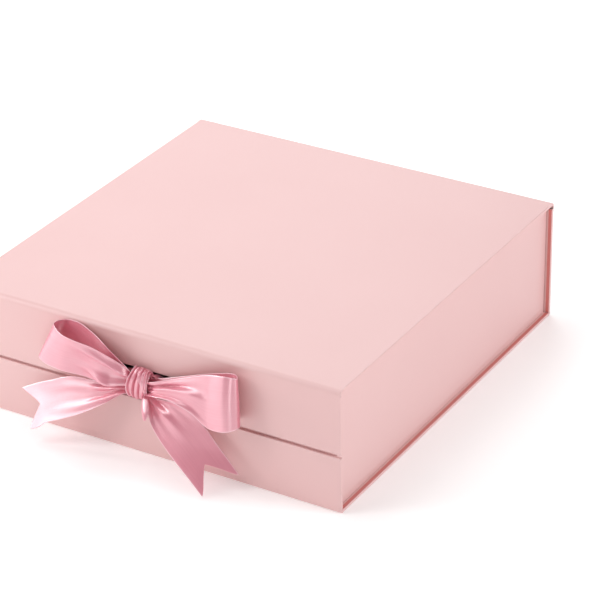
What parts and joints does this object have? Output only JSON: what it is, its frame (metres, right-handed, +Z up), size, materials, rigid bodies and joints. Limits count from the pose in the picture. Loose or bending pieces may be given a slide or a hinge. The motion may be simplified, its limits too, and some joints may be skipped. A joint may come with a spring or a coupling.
{
  "type": "gift box",
  "caption": "Rigid paper-covered gift box with a hinged lid and front flap, an inner tray and a satin ribbon bow.",
  "frame": {"origin": "centre of the base's footprint, on the surface the box stands on", "axes": "+Z up; +X along the box's width, to the right seen from the flap; +Y from the flap towards the spine"},
  "size_m": [0.325, 0.3749, 0.1],
  "materials": {
    "cover_paper": "matt laminated, pale pink",
    "lining_paper": "matt, pale pink",
    "grey_board": "uncoated",
    "nickel_plate": "plated",
    "satin_ribbon": "satin, pink"
  },
  "bodies": {
    "case": {"front_board": "grey_board", "front_wrap": "cover_paper", "front_liner": "lining_paper", "base_board": "grey_board", "base_wrap": "cover_paper", "base_liner": "lining_paper", "spine_board": "grey_board", "spine_wrap": "cover_paper", "spine_liner": "lining_paper", "front_base_fold": "cover_paper", "base_spine_fold": "cover_paper", "tray_front_wall": "grey_board", "tray_back_wall": "grey_board", "tray_left_wall": "grey_board", "tray_right_wall": "grey_board", "tray_bottom": "grey_board", "tray_wrap": "cover_paper", "tray_liner": "lining_paper", "tray_magnet_left": "nickel_plate", "tray_magnet_right": "nickel_plate"},
    "lid": {"lid_board": "grey_board", "lid_wrap": "cover_paper", "lid_liner": "lining_paper", "lid_hinge": "cover_paper"},
    "flap": {"flap_board": "grey_board", "flap_wrap": "cover_paper", "flap_liner": "lining_paper", "flap_hinge": "cover_paper", "flap_magnet_left": "nickel_plate", "flap_magnet_right": "nickel_plate", "ribbon_strap": "satin_ribbon", "ribbon_knot": "satin_ribbon", "ribbon_loop_left": "satin_ribbon", "ribbon_loop_right": "satin_ribbon", "ribbon_tail_left": "satin_ribbon", "ribbon_tail_right": "satin_ribbon"}
  },
  "joints": [
    {"name": "lid_turn", "type": "hinge", "parent": "case", "child": "lid", "pos_m": [0, 0.165, 0.0975], "axis": [-1, 0, 0], "range_deg": [0, 180], "deforming": ["lid_hinge"]},
    {"name": "flap_turn", "type": "hinge", "parent": "lid", "child": "flap", "pos_m": [0, -0.1635, 0.096], "axis": [-1, 0, 0], "range_deg": [0, 90], "deforming": ["flap_hinge"]}
  ]
}
